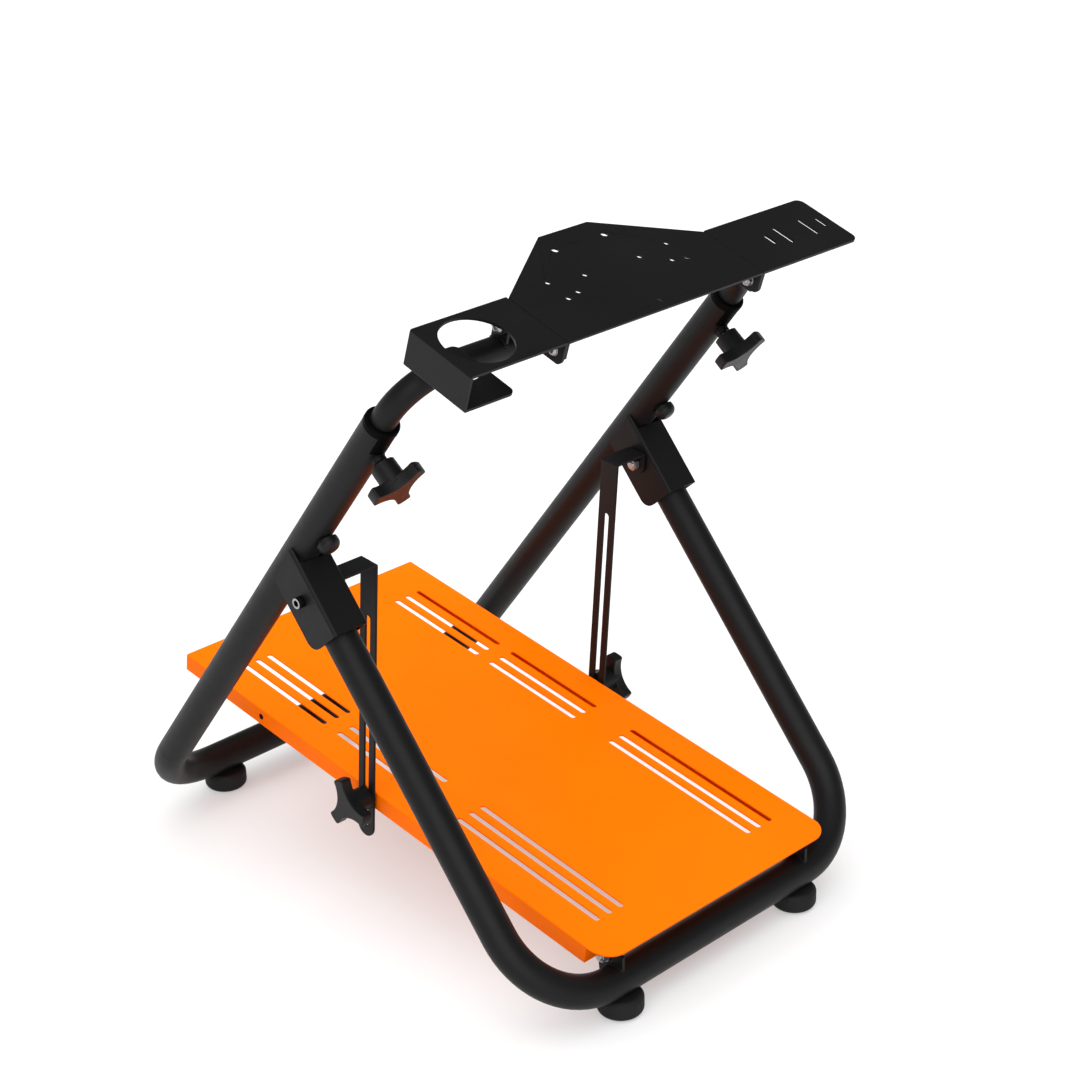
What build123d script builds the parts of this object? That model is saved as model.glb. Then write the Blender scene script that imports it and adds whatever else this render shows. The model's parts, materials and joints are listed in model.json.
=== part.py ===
from build123d import *
import os
from math import sin, cos, radians, degrees, atan2, hypot

os.makedirs("parts", exist_ok=True)

# Folding stand for a steering wheel and a pedal set.
# Frame: millimetres, +Z up, floor at Z = 0, X = 0 is the middle plane with +X to the
# right hand of the seated driver, the driver sits at -Y and faces +Y.

# ------------------------------------------------------------------ driving dimensions
bar_height = 41.3          # axis of both floor bars above the floor
rear_bar_y = 344.7         # axis of the rear floor bar
front_bar_y = -344.7       # axis of the front floor bar
half_width = 258.0         # middle plane to the side tubes' axes

tube_r = 19.0              # main tubes, outer radius
tube_wall = 1.5
bend_r = 100.0             # centre-line radius of the floor bends
rear_lean = 37.7           # rear tubes lean towards the driver, degrees from upright
front_lean = 40.88         # front tubes lean away from the driver
rear_top = 772.0           # end of the rear tubes, measured along them from the floor bar

inner_r = 14.0             # telescoping top bar, outer radius
inner_wall = 1.5
inner_bend_r = 58.0
top_bar_at = 848.6         # axis of the top bar along the rear tubes
inner_end = 365.0          # lower ends of the top bar's legs, along the rear tubes
lock_pitch = 50.0          # pitch of the height holes

pivot_at = 508.8           # folding pivot, along the front tubes from the floor bar
front_end = 516.8          # end of the front tubes
bracket_foot = 456.5       # lower end of the pivot brackets, along the front tubes
bracket_half = 23.0        # half the bracket's outer width
bracket_gap = 19.6         # half the bracket's inner width
web_out = 25.5             # web's outer face off the front tubes' axis
web_t = 3.0
web_top = 542.2            # the web's straight upper edge, along the front tubes
flange_back = 27.0         # flanges' open edge, on the other side of that axis

clamp_at = 738.0           # height clamp knobs, along the rear tubes
lock_at = 588.5            # spring lock pins, along the rear tubes
knob_r = 32.5              # star knob, centre to the tip of a lobe
knob_t = 13.4              # thickness of the lobes
knob_bay = 33.0            # radius of the three bays between its lobes
knob_waist = 13.6          # centre to the foot of a bay
hub_r = (13.8, 14.3)       # hub, at the stud and among the lobes
hub_in = 5.0               # how far the hub shows in the bays
boss_out = 23.5            # face of the clamp boss off the rear tubes' axis
hub_out = 27.0             # narrow end of the height knob's hub
lobe_out = 47.5            # tube side of the height knob's lobes
knob_turn = 64.0           # a lobe at rest, off the X axis
pin_r = 4.0                # M8 bolts, studs and pins
run = 0.05                 # radial running clearance on them

collar_r = 19.3            # lip of the bush in the rear tubes' ends
collar_h = 8.0
key_w = 26.0               # cut-out in the rear tubes' ends that the bush's tongue fills
key_foot = 747.0           # its lower end, along the rear tubes

foot_x = 143.6
foot_r = 26.0
foot_h = 23.5

plate_half = 183.0         # pedal plate
plate_len = 722.0
plate_t = 2.0
plate_slope = 8.57         # far end up
plate_far = (349.45, bar_height + 155.4)   # far edge of the top face, Y and Z
plate_round = 27.0
plate_flange = 22.0
plate_flange_len = 690.0
plate_lip = 26.0           # lip turned inwards at the foot of a flange
plate_lip_len = 668.0
plate_fold = 1.8           # outside radius of the long folds
slot_w = 7.1
slot_rows = (104.5, 122.0, 141.0)
slot_spans = ((60.0, 214.0), (236.0, 385.0), (444.0, 667.5))
stud_at = 341.5            # strap stud along the plate from its far edge
stud_drop = 9.5            # and below the plate's top face
hinge_yz = (-329.3, bar_height + 26.0)  # pedal plate hinge, Y and Z

strap_x = 185.5            # inner face of a strap's long leg
strap_t = 3.0
strap_w = 26.0
strap_end = 343.0          # pivot to the strap's lower end
strap_slot = (52.0, 330.0)
strap_slot_w = 8.0

deck_half = 144.0          # wheel plate
deck_t = 3.0
deck_slope = 17.6          # near edge down, towards the driver
deck_len = 87.0
deck_nose = 72.0
deck_nose_half = 35.5
deck_flange = 28.4
deck_fold = 2.5            # outside radius of the folds
tilt_yz = (-180.8, bar_height + 698.0)  # tilt bolts of the wheel plate, Y and Z
deck_holes = ((36.0, -45.6, 4.2), (87.0, -3.0, 3.3), (40.0, 3.2, 3.3), (69.0, 23.4, 3.3), (87.0, 28.0, 3.3))
flange_holes = (10.8, 73.6)
flange_hole_drop = 16.0

cup_x = (-272.0, -144.0)
cup_hole = (-224.5, 42.0, 38.2)
cup_depth = 42.0
shift_x = (144.0, 300.0)
shift_slots = ((202.5, 43.0, 20.5), (223.7, 43.0, 34.0), (264.8, 43.0, 34.0), (286.7, 43.0, 20.5))

# ------------------------------------------------------------------ working planes
a, b = radians(rear_lean), radians(front_lean)
g, t = radians(plate_slope), radians(deck_slope)

# rear frame: local x across, y up along the tubes, z towards the driver
rear_plane = Plane(origin=(0, rear_bar_y, bar_height), x_dir=(1, 0, 0), z_dir=(0, -cos(a), -sin(a)))
# front leg: local x across, y up along the tubes, z towards the driver
front_plane = Plane(origin=(0, front_bar_y, bar_height), x_dir=(1, 0, 0), z_dir=(0, -cos(b), sin(b)))
# pedal plate: local x across, y away from the driver, z out of the top face
pedal_plane = Plane(origin=(0, plate_far[0], plate_far[1]), x_dir=(1, 0, 0), z_dir=(0, -sin(g), cos(g)))
# wheel plate: origin on its top face at the far end of the side folds
deck_o = (tilt_yz[0] - 5 * cos(t) - 37 * sin(t), tilt_yz[1] - 5 * sin(t) + 37 * cos(t))
deck_plane = Plane(origin=(0, deck_o[0], deck_o[1]), x_dir=(1, 0, 0), z_dir=(0, -sin(t), cos(t)))

pivot = front_plane.from_local_coords(Vector(0, pivot_at, 0))
stud = pedal_plane.from_local_coords(Vector(0, -stud_at, -stud_drop))
strap_lean = degrees(atan2(stud.Y - pivot.Y, pivot.Z - stud.Z))
# strap: origin on the pivot, local x across, local y up along the strap
strap_plane = Plane(
    origin=(0, pivot.Y, pivot.Z),
    x_dir=(1, 0, 0),
    z_dir=(0, -cos(radians(strap_lean)), -sin(radians(strap_lean))),
)


def rear_point(x, along, out=0.0):
    return rear_plane.from_local_coords(Vector(x, along, out))


def front_point(x, along, out=0.0):
    return front_plane.from_local_coords(Vector(x, along, out))


def side_plane(x, y=0.0, z=0.0):
    """Upright plane across X: local x is away from the driver, local y is up."""
    return Plane(origin=(x, y, z), x_dir=(0, 1, 0), z_dir=(1, 0, 0))


def rear_axis_plane(x, along):
    """Plane square to a rear tube, normal up along the tube."""
    return Plane(origin=rear_point(x, along), x_dir=(1, 0, 0), z_dir=(0, -sin(a), cos(a)))


def rear_radial_plane(x, along, out):
    """Plane square to a radius of a rear tube, normal towards the driver."""
    return Plane(origin=rear_point(x, along, out), x_dir=(1, 0, 0), z_dir=(0, -cos(a), -sin(a)))


def front_axis_plane(x, along):
    """Plane square to a front tube, normal up along the tube; local y is away from the web."""
    return Plane(origin=front_point(x, along), x_dir=(1, 0, 0), z_dir=(0, sin(b), cos(b)))


def deck_side_plane(x):
    """Plane across X in the wheel plate's frame: local x away from the driver, local y out of the plate."""
    return Plane(origin=(x, deck_o[0], deck_o[1]), x_dir=(0, cos(t), sin(t)), z_dir=(1, 0, 0))


def pedal_side_plane(x):
    return Plane(origin=(x, plate_far[0], plate_far[1]), x_dir=(0, cos(g), sin(g)), z_dir=(1, 0, 0))


def strap_side_plane(x):
    """Plane across X in the strap's frame: local x away from the driver, local y up along the strap."""
    s = radians(strap_lean)
    return Plane(origin=(x, pivot.Y, pivot.Z), x_dir=(0, cos(s), sin(s)), z_dir=(1, 0, 0))


def deck_edges(builder, x, h):
    """Long fold edges of a wheel plate piece at this X and this height off the plate's top face."""
    return [
        e
        for e in builder.edges()
        if e.length > 60 and abs(e.center().X - x) < 0.05
        and abs(deck_plane.to_local_coords(e.center()).Z - h) < 0.05
    ]


def save(builder, name):
    builder.part.label = name
    export_step(builder.part, "parts/" + name + ".step")


# ------------------------------------------------------------------ rear frame
with BuildPart() as rear_frame_tube:
    with BuildLine(rear_plane) as rear_path:
        FilletPolyline(
            (-half_width, rear_top), (-half_width, 0), (half_width, 0), (half_width, rear_top), radius=bend_r
        )
    with BuildSketch(rear_axis_plane(-half_width, rear_top)):
        Circle(tube_r)
        Circle(tube_r - tube_wall, mode=Mode.SUBTRACT)
    sweep(path=rear_path.wires()[0])
    for side in (-1, 1):
        for along in (clamp_at, lock_at):
            with BuildSketch(rear_radial_plane(side * half_width, along, 12)):
                Circle(5.0)
            extrude(amount=12, mode=Mode.SUBTRACT)
        with BuildSketch(rear_axis_plane(side * half_width, key_foot)):
            with Locations((0, -16)):
                Rectangle(key_w, 16)
        extrude(amount=rear_top - key_foot + 5, mode=Mode.SUBTRACT)
save(rear_frame_tube, "rear_frame_tube")

# pivot bracket: bent channel, its web towards the driver, saddled onto the rear tube
with BuildPart() as right_pivot_bracket:
    with BuildSketch(front_axis_plane(half_width, bracket_foot)):
        with Locations((0, (flange_back - web_out) / 2)):
            outer = Rectangle(2 * bracket_half, web_out + flange_back)
        fillet(outer.vertices().group_by(Axis.Y)[0], 4.0)
        with Locations((0, (flange_back - web_out + web_t) / 2 + 1)):
            Rectangle(2 * bracket_gap, web_out + flange_back - web_t + 2, mode=Mode.SUBTRACT)
    extrude(amount=140)
    with BuildSketch(rear_axis_plane(half_width, 380)):
        Circle(tube_r + 0.02)
    extrude(amount=300, mode=Mode.SUBTRACT)
    with BuildSketch(rear_radial_plane(half_width, 580, 0)):
        Rectangle(120, 360)
    extrude(amount=-120, mode=Mode.SUBTRACT)
    with BuildSketch(front_axis_plane(half_width, web_top)):
        with Locations((0, -web_out + web_t / 2)):
            Rectangle(2 * bracket_gap, web_t + 2)
    extrude(amount=80, mode=Mode.SUBTRACT)
    corner = [
        e
        for e in right_pivot_bracket.edges().filter_by(Axis.X)
        if (e.center() - front_point(e.center().X, bracket_foot, -flange_back)).length < 0.6
    ]
    fillet(corner, 14.0)
    with BuildSketch(side_plane(half_width - 40, pivot.Y, pivot.Z)):
        Circle(pin_r + run)
    extrude(amount=80, mode=Mode.SUBTRACT)
save(right_pivot_bracket, "right_pivot_bracket")

with BuildPart() as left_pivot_bracket:
    mirror(right_pivot_bracket.part, about=Plane.YZ)
save(left_pivot_bracket, "left_pivot_bracket")

# plastic bush with a lip, between the outer tube and the telescoping leg; its tongue fills the tube's cut-out
with BuildPart() as right_tube_collar:
    with BuildSketch(rear_axis_plane(half_width, rear_top - 26)):
        Circle(tube_r - tube_wall - 0.02)
    extrude(amount=26)
    with BuildSketch(rear_axis_plane(half_width, key_foot + 0.3)):
        Circle(tube_r)
        with Locations((0, -16)):
            Rectangle(key_w - 0.2, 16, mode=Mode.INTERSECT)
    extrude(amount=rear_top - key_foot)
    with BuildSketch(rear_axis_plane(half_width, rear_top)):
        Circle(collar_r)
    extrude(amount=collar_h)
    lip = right_tube_collar.edges().filter_by(GeomType.CIRCLE).sort_by(Axis(rear_point(0, 0), (0, -sin(a), cos(a))))
    fillet(lip[-1], 2.8)
    with BuildSketch(rear_axis_plane(half_width, rear_top - 30)):
        Circle(inner_r + run)
    extrude(amount=50, mode=Mode.SUBTRACT)
save(right_tube_collar, "right_tube_collar")

with BuildPart() as left_tube_collar:
    mirror(right_tube_collar.part, about=Plane.YZ)
save(left_tube_collar, "left_tube_collar")

# welded nut boss for the height clamp's stud
with BuildPart() as right_clamp_boss:
    with BuildSketch(rear_radial_plane(half_width, clamp_at, 15)):
        Circle(8.0)
    extrude(amount=boss_out - 15)
    rim = right_clamp_boss.edges().filter_by(GeomType.CIRCLE).sort_by(Axis(rear_point(0, 0), (0, -cos(a), -sin(a))))
    fillet(rim[-1], 1.0)
    with BuildSketch(rear_axis_plane(half_width, clamp_at - 30)):
        Circle(tube_r + 0.02)
    extrude(amount=60, mode=Mode.SUBTRACT)
    with BuildSketch(rear_radial_plane(half_width, clamp_at, 10)):
        Circle(pin_r + run)
    extrude(amount=30, mode=Mode.SUBTRACT)
save(right_clamp_boss, "right_clamp_boss")

with BuildPart() as left_clamp_boss:
    mirror(right_clamp_boss.part, about=Plane.YZ)
save(left_clamp_boss, "left_clamp_boss")

# welded sleeve that guides the spring lock pin
with BuildPart() as right_pin_sleeve:
    with BuildSketch(rear_radial_plane(half_width, lock_at, 15)):
        Circle(7.5)
    extrude(amount=4.8)
    with BuildSketch(rear_axis_plane(half_width, lock_at - 30)):
        Circle(tube_r + 0.02)
    extrude(amount=60, mode=Mode.SUBTRACT)
    with BuildSketch(rear_radial_plane(half_width, lock_at, 10)):
        Circle(pin_r + run)
    extrude(amount=30, mode=Mode.SUBTRACT)
save(right_pin_sleeve, "right_pin_sleeve")

with BuildPart() as left_pin_sleeve:
    mirror(right_pin_sleeve.part, about=Plane.YZ)
save(left_pin_sleeve, "left_pin_sleeve")

# pivot bolt: socket head outside, hexagon nut inside the strap's tab
with BuildPart() as right_pivot_bolt:
    with BuildSketch(side_plane(half_width - bracket_half - 12.0, pivot.Y, pivot.Z)):
        Circle(pin_r)
    extrude(amount=bracket_half * 2 + 18)
    with BuildSketch(side_plane(half_width + bracket_half, pivot.Y, pivot.Z)):
        Circle(6.5)
    extrude(amount=8)
    with BuildSketch(side_plane(half_width + bracket_half + 4, pivot.Y, pivot.Z)):
        RegularPolygon(3.46, 6)
    extrude(amount=4, mode=Mode.SUBTRACT)
    with BuildSketch(side_plane(half_width - bracket_half - 11.0, pivot.Y, pivot.Z)):
        RegularPolygon(7.5, 6)
    extrude(amount=7)
save(right_pivot_bolt, "right_pivot_bolt")

with BuildPart() as left_pivot_bolt:
    mirror(right_pivot_bolt.part, about=Plane.YZ)
save(left_pivot_bolt, "left_pivot_bolt")


# ------------------------------------------------------------------ feet
with BuildPart() as right_front_foot:
    with BuildSketch(Plane(origin=(foot_x, front_bar_y, 0))):
        Circle(foot_r)
    extrude(amount=foot_h)
    rims = right_front_foot.edges().filter_by(GeomType.CIRCLE).sort_by(Axis.Z)
    fillet(rims[-1], 6.0)
    fillet(rims[0], 7.0)
    with BuildSketch(side_plane(foot_x - 30, front_bar_y, bar_height)):
        Circle(tube_r + 0.02)
    extrude(amount=60, mode=Mode.SUBTRACT)
save(right_front_foot, "right_front_foot")

with BuildPart() as left_front_foot:
    mirror(right_front_foot.part, about=Plane.YZ)
save(left_front_foot, "left_front_foot")

with BuildPart() as right_rear_foot:
    mirror(right_front_foot.part, about=Plane.XZ)
save(right_rear_foot, "right_rear_foot")

with BuildPart() as left_rear_foot:
    mirror(left_front_foot.part, about=Plane.XZ)
save(left_rear_foot, "left_rear_foot")

# ------------------------------------------------------------------ top bar
with BuildPart() as top_bar_tube:
    with BuildLine(rear_plane) as top_path:
        FilletPolyline(
            (-half_width, inner_end),
            (-half_width, top_bar_at),
            (half_width, top_bar_at),
            (half_width, inner_end),
            radius=inner_bend_r,
        )
    with BuildSketch(rear_axis_plane(-half_width, inner_end)):
        Circle(inner_r)
        Circle(inner_r - inner_wall, mode=Mode.SUBTRACT)
    sweep(path=top_path.wires()[0])
    for side in (-1, 1):
        for k in range(5):
            with BuildSketch(rear_radial_plane(side * half_width, lock_at - k * lock_pitch, 8)):
                Circle(4.4)
            extrude(amount=10, mode=Mode.SUBTRACT)
save(top_bar_tube, "top_bar_tube")

bar_c = rear_point(0, top_bar_at)
tab_dy, tab_dz = tilt_yz[0] - bar_c.Y, tilt_yz[1] - bar_c.Z
tab_lean = degrees(atan2(-tab_dy, tab_dz))

# upright tab on the top bar that the wheel plate's ear is bolted to
with BuildPart() as right_plate_tab:
    tab_plane = Plane(
        origin=(136.8, bar_c.Y, bar_c.Z),
        x_dir=(0, cos(radians(tab_lean)), sin(radians(tab_lean))),
        z_dir=(1, 0, 0),
    )
    reach = hypot(tab_dy, tab_dz)
    with BuildSketch(tab_plane):
        with Locations((0, reach / 2)):
            Rectangle(22, reach)
        with Locations((0, reach)):
            Circle(11.0)
            Circle(pin_r + run, mode=Mode.SUBTRACT)
        Circle(inner_r + 0.02, mode=Mode.SUBTRACT)
    extrude(amount=4)
save(right_plate_tab, "right_plate_tab")

with BuildPart() as left_plate_tab:
    mirror(right_plate_tab.part, about=Plane.YZ)
save(left_plate_tab, "left_plate_tab")

# tilt bolt through the tab and the wheel plate's ear
with BuildPart() as right_tilt_bolt:
    with BuildSketch(side_plane(128.0, *tilt_yz)):
        Circle(pin_r)
    extrude(amount=20)
    with BuildSketch(side_plane(144.3, *tilt_yz)):
        Circle(6.8)
    extrude(amount=4.6)
    dome = right_tilt_bolt.edges().filter_by(GeomType.CIRCLE).sort_by(Axis.X)
    fillet(dome[-1], 2.6)
    with BuildSketch(side_plane(146.6, *tilt_yz)):
        RegularPolygon(2.9, 6)
    extrude(amount=4, mode=Mode.SUBTRACT)
    with BuildSketch(side_plane(129.8, *tilt_yz)):
        RegularPolygon(7.5, 6)
    extrude(amount=7)
save(right_tilt_bolt, "right_tilt_bolt")

with BuildPart() as left_tilt_bolt:
    mirror(right_tilt_bolt.part, about=Plane.YZ)
save(left_tilt_bolt, "left_tilt_bolt")

# ------------------------------------------------------------------ wheel plate and its wings
with BuildPart() as wheel_plate:
    with BuildSketch(deck_plane):
        with BuildLine():
            Polyline(
                (-deck_half, 0), (-deck_half, -deck_len), (deck_half, -deck_len), (deck_half, 0),
                (deck_nose_half, deck_nose), (-deck_nose_half, deck_nose), close=True,
            )
        make_face()
        for x, v, r in deck_holes:
            with Locations((-x, -v), (x, -v)):
                Circle(r, mode=Mode.SUBTRACT)
        with Locations((0, -73.7)):
            Circle(3.3, mode=Mode.SUBTRACT)
    extrude(amount=-deck_t)
    for x in (-deck_half, deck_half - deck_t):
        with BuildSketch(deck_side_plane(x)):
            with BuildLine():
                Polyline(
                    (0, 0), (1.5, -15), (12.6, -30.4), (5, -37), (-3.2, -43.0), (-12.3, -deck_flange),
                    (-deck_len + 8, -deck_flange), (-deck_len, -deck_flange + 8), (-deck_len, 0), close=True,
                )
            make_face()
            with Locations((5, -37)):
                Circle(10.2)
                Circle(pin_r + run, mode=Mode.SUBTRACT)
            with Locations(*[(-v, -flange_hole_drop) for v in flange_holes]):
                Circle(3.3, mode=Mode.SUBTRACT)
        extrude(amount=deck_t)
    fillet(deck_edges(wheel_plate, -deck_half, 0) + deck_edges(wheel_plate, deck_half, 0), deck_fold)
save(wheel_plate, "wheel_plate")

with BuildPart() as cup_holder_plate:
    with BuildSketch(deck_plane):
        with Locations(((cup_x[0] + cup_x[1]) / 2, -(deck_len - 2) / 2)):
            Rectangle(cup_x[1] - cup_x[0], deck_len + 2)
        with Locations((cup_hole[0], -cup_hole[1])):
            Circle(cup_hole[2], mode=Mode.SUBTRACT)
    extrude(amount=-deck_t)
    with BuildSketch(deck_side_plane(cup_x[0])):
        with Locations((-(deck_len - 2) / 2, -cup_depth / 2)):
            Rectangle(deck_len + 2, cup_depth)
    extrude(amount=deck_t)
    with BuildSketch(deck_plane.offset(-cup_depth)):
        with Locations(((cup_x[0] - 204) / 2, -(deck_len - 2) / 2)):
            shelf = Rectangle(-204 - cup_x[0], deck_len + 2)
        fillet(shelf.vertices().group_by(Axis.X)[-1], 8.0)
        with Locations((-226, -41)):
            Circle(11.0, mode=Mode.SUBTRACT)
    extrude(amount=deck_t)
    with BuildSketch(deck_side_plane(cup_x[1] - deck_t)):
        with Locations((-(deck_len - 2) / 2, -deck_flange / 2)):
            wing = Rectangle(deck_len + 2, deck_flange)
        fillet(wing.vertices().group_by(Axis.Y)[0], 8.0)
        with Locations(*[(-v, -flange_hole_drop) for v in flange_holes]):
            Circle(3.3, mode=Mode.SUBTRACT)
    extrude(amount=deck_t)
    fillet(
        deck_edges(cup_holder_plate, cup_x[0], 0) + deck_edges(cup_holder_plate, cup_x[0], -cup_depth)
        + deck_edges(cup_holder_plate, cup_x[1], 0),
        deck_fold,
    )
save(cup_holder_plate, "cup_holder_plate")

with BuildPart() as shifter_plate:
    with BuildSketch(deck_plane):
        with Locations(((shift_x[0] + shift_x[1]) / 2, -(deck_len - 2) / 2)):
            top = Rectangle(shift_x[1] - shift_x[0], deck_len + 2)
        fillet(top.vertices().group_by(Axis.X)[-1], 9.0)
        for x, v, length in shift_slots:
            with Locations((x, -v)):
                SlotOverall(length, 5.5, rotation=90, mode=Mode.SUBTRACT)
    extrude(amount=-deck_t)
    with BuildSketch(deck_side_plane(shift_x[0])):
        with Locations((-(deck_len - 2) / 2, -deck_flange / 2)):
            wing = Rectangle(deck_len + 2, deck_flange)
        fillet(wing.vertices().group_by(Axis.Y)[0], 8.0)
        with Locations(*[(-v, -flange_hole_drop) for v in flange_holes]):
            Circle(3.3, mode=Mode.SUBTRACT)
    extrude(amount=deck_t)
    fillet(deck_edges(shifter_plate, shift_x[0], 0), deck_fold)
save(shifter_plate, "shifter_plate")

# ------------------------------------------------------------------ front leg
with BuildPart() as front_leg_tube:
    with BuildLine(front_plane) as front_path:
        FilletPolyline(
            (-half_width, front_end), (-half_width, 0), (half_width, 0), (half_width, front_end), radius=bend_r
        )
    with BuildSketch(front_axis_plane(-half_width, front_end)):
        Circle(tube_r)
        Circle(tube_r - tube_wall, mode=Mode.SUBTRACT)
    sweep(path=front_path.wires()[0])
    with BuildSketch(side_plane(-half_width - 30, pivot.Y, pivot.Z)):
        Circle(pin_r + run)
    extrude(amount=2 * half_width + 60, mode=Mode.SUBTRACT)
save(front_leg_tube, "front_leg_tube")

# hinge tab welded on the front floor bar
hinge_dy, hinge_dz = hinge_yz[0] - front_bar_y, hinge_yz[1] - bar_height
with BuildPart() as right_hinge_tab:
    with BuildSketch(side_plane(148.0, front_bar_y, bar_height)):
        with BuildLine():
            Polyline(
                (-11, 0), (-11, 33), (-7, 36.5), (hinge_dy - 3, hinge_dz + 10.5), (hinge_dy + 10.6, hinge_dz - 1),
                (hinge_dy + 8, 4), close=True,
            )
        make_face()
        with Locations((hinge_dy, hinge_dz)):
            Circle(11.0)
            Circle(pin_r + run, mode=Mode.SUBTRACT)
        Circle(tube_r + 0.02, mode=Mode.SUBTRACT)
    extrude(amount=4)
save(right_hinge_tab, "right_hinge_tab")

with BuildPart() as left_hinge_tab:
    mirror(right_hinge_tab.part, about=Plane.YZ)
save(left_hinge_tab, "left_hinge_tab")

with BuildPart() as right_hinge_bolt:
    with BuildSketch(side_plane(137.6, *hinge_yz)):
        Circle(pin_r)
    extrude(amount=24)
    with BuildSketch(side_plane(137.6, *hinge_yz)):
        RegularPolygon(7.5, 6)
    extrude(amount=5.4)
    with BuildSketch(side_plane(152.0, *hinge_yz)):
        RegularPolygon(7.5, 6)
    extrude(amount=7.5)
save(right_hinge_bolt, "right_hinge_bolt")

with BuildPart() as left_hinge_bolt:
    mirror(right_hinge_bolt.part, about=Plane.YZ)
save(left_hinge_bolt, "left_hinge_bolt")

# ------------------------------------------------------------------ pedal plate
with BuildPart() as pedal_plate:
    with BuildSketch(pedal_plane):
        with Locations((0, -plate_len / 2)):
            Rectangle(2 * plate_half, plate_len)
        for lo, hi in slot_spans:
            for row in slot_rows:
                with Locations((-row, -(lo + hi) / 2), (row, -(lo + hi) / 2)):
                    SlotOverall(hi - lo, slot_w, rotation=90, mode=Mode.SUBTRACT)
    extrude(amount=-plate_t)
    for x in (-plate_half, plate_half - plate_t):
        with BuildSketch(pedal_side_plane(x)):
            with Locations((-plate_flange_len / 2, -plate_flange / 2)):
                Rectangle(plate_flange_len, plate_flange)
            with Locations((-stud_at, -stud_drop)):
                Circle(pin_r + run, mode=Mode.SUBTRACT)
            with Locations((-145, -11)):
                Circle(2.6, mode=Mode.SUBTRACT)
        extrude(amount=plate_t)
    for side in (-1, 1):
        with BuildSketch(pedal_plane.offset(-plate_flange)):
            with Locations((side * (plate_half - 9.5), -plate_flange_len + plate_t / 2)):
                Rectangle(19, plate_t)
        extrude(amount=plate_flange - plate_t / 2)
        with BuildSketch(pedal_plane.offset(-plate_flange)):
            with Locations((side * (plate_half - plate_lip / 2), -plate_lip_len / 2)):
                Rectangle(plate_lip, plate_lip_len)
        extrude(amount=plate_t)
    folds = [
        e
        for e in pedal_plate.edges()
        if e.length > plate_flange_len - 1 and abs(abs(e.center().X) - plate_half) < 0.05
        and abs(pedal_plane.to_local_coords(e.center()).Z) < 0.05
    ]
    fillet(folds, plate_fold)
    for side in (-1, 1):
        with BuildSketch(pedal_plane.offset(-plate_t - 1)):
            with Locations((side * (plate_half - plate_round / 2 + 1), -plate_len + plate_round / 2 - 1)):
                Rectangle(plate_round + 2, plate_round + 2)
            with Locations((side * (plate_half - plate_round), -plate_len + plate_round)):
                Circle(plate_round, mode=Mode.SUBTRACT)
                with Locations((-side * 10, 0)):
                    Rectangle(20, 4, mode=Mode.SUBTRACT)
                with Locations((0, 10)):
                    Rectangle(4, 20, mode=Mode.SUBTRACT)
        extrude(amount=plate_t + 2, mode=Mode.SUBTRACT)
save(pedal_plate, "pedal_plate")

# lug under the pedal plate that turns on the hinge bolt
lug_h = pedal_plane.to_local_coords(Vector(0, hinge_yz[0], hinge_yz[1]))
with BuildPart() as right_plate_lug:
    with BuildSketch(pedal_side_plane(143.5)):
        with BuildLine():
            Polyline(
                (lug_h.Y - 9, lug_h.Z), (lug_h.Y + 9, lug_h.Z), (lug_h.Y + 20, -plate_t), (lug_h.Y - 20, -plate_t),
                close=True,
            )
        make_face()
        with Locations((lug_h.Y, lug_h.Z)):
            Circle(9.0)
            Circle(pin_r + run, mode=Mode.SUBTRACT)
    extrude(amount=4)
save(right_plate_lug, "right_plate_lug")

with BuildPart() as left_plate_lug:
    mirror(right_plate_lug.part, about=Plane.YZ)
save(left_plate_lug, "left_plate_lug")

# ------------------------------------------------------------------ slotted straps
bridge_top = 17.0
tab_x = half_width - bracket_half - 0.4 - strap_t
with BuildPart() as right_strap:
    with BuildSketch(strap_side_plane(strap_x)):
        with Locations((0, (bridge_top - strap_end + strap_w / 2) / 2)):
            Rectangle(strap_w, bridge_top + strap_end - strap_w / 2)
        with Locations((0, -strap_end + strap_w / 2)):
            Circle(strap_w / 2)
        with Locations((0, -(strap_slot[0] + strap_slot[1]) / 2)):
            SlotOverall(strap_slot[1] - strap_slot[0], strap_slot_w, rotation=90, mode=Mode.SUBTRACT)
    extrude(amount=strap_t)
    with BuildSketch(strap_side_plane(strap_x)):
        with Locations((0, bridge_top - strap_t / 2)):
            Rectangle(strap_w, strap_t)
    extrude(amount=tab_x + strap_t - strap_x)
    with BuildSketch(strap_side_plane(tab_x)):
        with Locations((0, bridge_top / 2)):
            Rectangle(strap_w, bridge_top)
        Circle(strap_w / 2)
        Circle(pin_r + run, mode=Mode.SUBTRACT)
    extrude(amount=strap_t)
    ridge = [
        e
        for e in right_strap.edges()
        if e.length > strap_w - 1 and abs(strap_plane.to_local_coords(e.center()).Y - bridge_top) < 0.1
        and (abs(e.center().X - strap_x) < 0.1 or abs(e.center().X - tab_x - strap_t) < 0.1)
    ]
    fillet(ridge, 2.5)
save(right_strap, "right_strap")

with BuildPart() as left_strap:
    mirror(right_strap.part, about=Plane.YZ)
save(left_strap, "left_strap")


# ------------------------------------------------------------------ star knobs on their studs
def star_outline(turn=0.0):
    """Disc with three round bays, which leaves three lobes, turned off the local axes."""
    Circle(knob_r)
    with PolarLocations(knob_waist + knob_bay, 3, start_angle=60 + turn):
        Circle(knob_bay, mode=Mode.SUBTRACT)


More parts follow.
